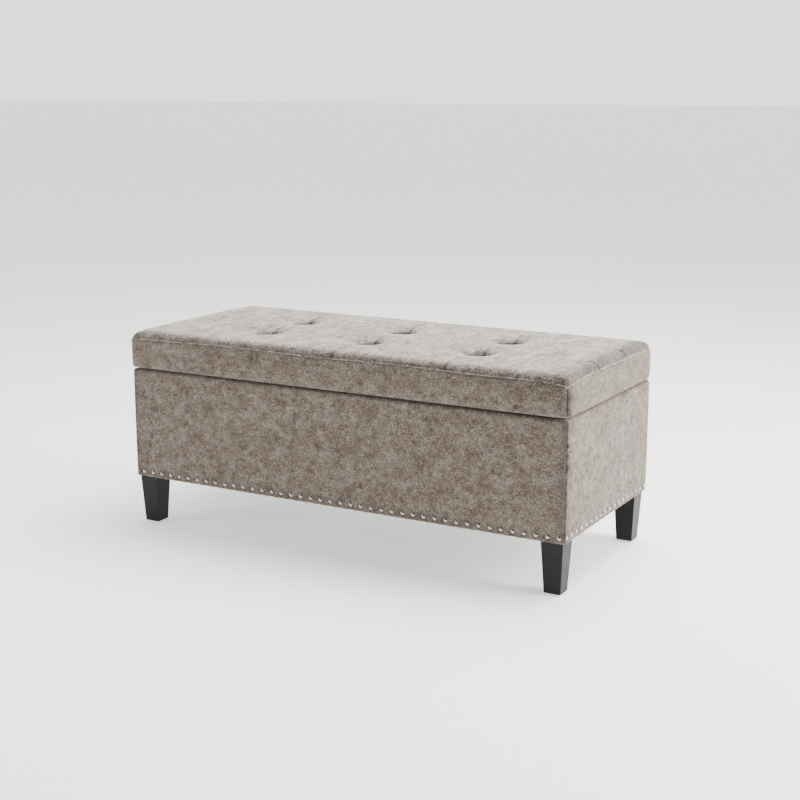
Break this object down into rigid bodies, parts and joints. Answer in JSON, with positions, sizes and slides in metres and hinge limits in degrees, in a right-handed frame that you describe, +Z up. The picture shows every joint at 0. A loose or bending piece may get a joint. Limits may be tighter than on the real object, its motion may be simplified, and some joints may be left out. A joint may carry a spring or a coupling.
{
  "type": "storage bench",
  "caption": "Upholstered storage bench: fabric-covered box on tapered legs, dome-nail trim, and a hinged button-tufted seat lid on folding stays.",
  "frame": {"origin": "on the floor under the middle of the bench", "axes": "+X along the length, to the right seen from the front; +Y to the back; +Z up"},
  "size_m": [1.067, 0.462, 0.446],
  "materials": {
    "velvet": "crushed velvet pile, warm taupe grey",
    "foam": "polyurethane foam and wadding",
    "nonwoven": "black spunbond non-woven",
    "plywood": "raw plywood",
    "pine": "sawn pine",
    "black_wood": "satin black lacquer on solid wood",
    "nickel": "brushed nickel plated dome nails",
    "zinc_steel": "zinc-plated steel",
    "nylon": "moulded nylon",
    "felt": "pressed felt",
    "twine": "waxed linen twine"
  },
  "bodies": {
    "box": {"back_bottom_rail": "pine", "back_cover": "velvet", "back_panel": "plywood", "bottom_board": "plywood", "box_screws": "zinc_steel", "box_stay_rivets": "zinc_steel", "center_stretcher": "pine", "corner_posts": "pine", "dust_cover": "nonwoven", "end_bottom_rails": "pine", "foot_glides": "nylon", "front_bottom_rail": "pine", "front_cover": "velvet", "front_left_leg": "black_wood", "front_nail_trim": "nickel", "front_panel": "plywood", "front_right_leg": "black_wood", "front_top_rail": "pine", "hinge_pins": "zinc_steel", "hinge_rail": "pine", "left_end_cover": "velvet", "left_end_panel": "plywood", "left_hinge_box_leaf": "zinc_steel", "left_nail_trim": "nickel", "left_stay_box_bracket": "zinc_steel", "left_top_rail": "pine", "leg_blocks": "pine", "leg_bolts": "zinc_steel", "leg_tee_nuts": "zinc_steel", "padding_wrap": "foam", "rear_left_leg": "black_wood", "rear_right_leg": "black_wood", "right_end_cover": "velvet", "right_end_panel": "plywood", "right_hinge_box_leaf": "zinc_steel", "right_nail_trim": "nickel", "right_stay_box_bracket": "zinc_steel", "right_top_rail": "pine", "rim_bumpers": "felt", "storage_liner": "nonwoven"},
    "lid": {"lid_board": "plywood", "lid_foam": "foam", "lid_top_cover": "velvet", "lid_boxing": "velvet", "lid_lining": "nonwoven", "tuft_buttons": "velvet", "tuft_twines": "twine", "tuft_washers": "zinc_steel", "left_hinge_lid_leaf": "zinc_steel", "right_hinge_lid_leaf": "zinc_steel", "lid_screws": "zinc_steel", "left_stay_lid_bracket": "zinc_steel", "right_stay_lid_bracket": "zinc_steel", "lid_stay_rivets": "zinc_steel"},
    "left_lower_arm": {"left_stay_lower_arm": "zinc_steel", "left_elbow_rivet": "zinc_steel"},
    "right_lower_arm": {"right_stay_lower_arm": "zinc_steel", "right_elbow_rivet": "zinc_steel"},
    "left_upper_arm": {"left_stay_upper_arm": "zinc_steel"},
    "right_upper_arm": {"right_stay_upper_arm": "zinc_steel"}
  },
  "joints": [
    {"name": "lid_hinge", "type": "hinge", "parent": "box", "child": "lid", "pos_m": [0, 0.22825, 0.3615], "axis": [-1, 0, 0], "range_deg": [0, 95]},
    {"name": "left_lower_arm_pivot", "type": "hinge", "parent": "box", "child": "left_lower_arm", "pos_m": [-0.493, 0.18175, 0.2835], "axis": [-1, 0, 0], "range_deg": [0, 95]},
    {"name": "left_upper_arm_pivot", "type": "hinge", "parent": "lid", "child": "left_upper_arm", "pos_m": [-0.4905, 0.06115, 0.3495], "axis": [-1, 0, 0], "range_deg": [-95, 0]},
    {"name": "right_lower_arm_pivot", "type": "hinge", "parent": "box", "child": "right_lower_arm", "pos_m": [0.493, 0.18175, 0.2835], "axis": [-1, 0, 0], "range_deg": [0, 95]},
    {"name": "right_upper_arm_pivot", "type": "hinge", "parent": "lid", "child": "right_upper_arm", "pos_m": [0.4905, 0.06115, 0.3495], "axis": [-1, 0, 0], "range_deg": [-95, 0]}
  ],
  "couplings": [
    {"joint": "left_lower_arm_pivot", "follows": "lid_hinge", "ratio": 1},
    {"joint": "left_upper_arm_pivot", "follows": "lid_hinge", "ratio": -1},
    {"joint": "right_lower_arm_pivot", "follows": "lid_hinge", "ratio": 1},
    {"joint": "right_upper_arm_pivot", "follows": "lid_hinge", "ratio": -1}
  ]
}
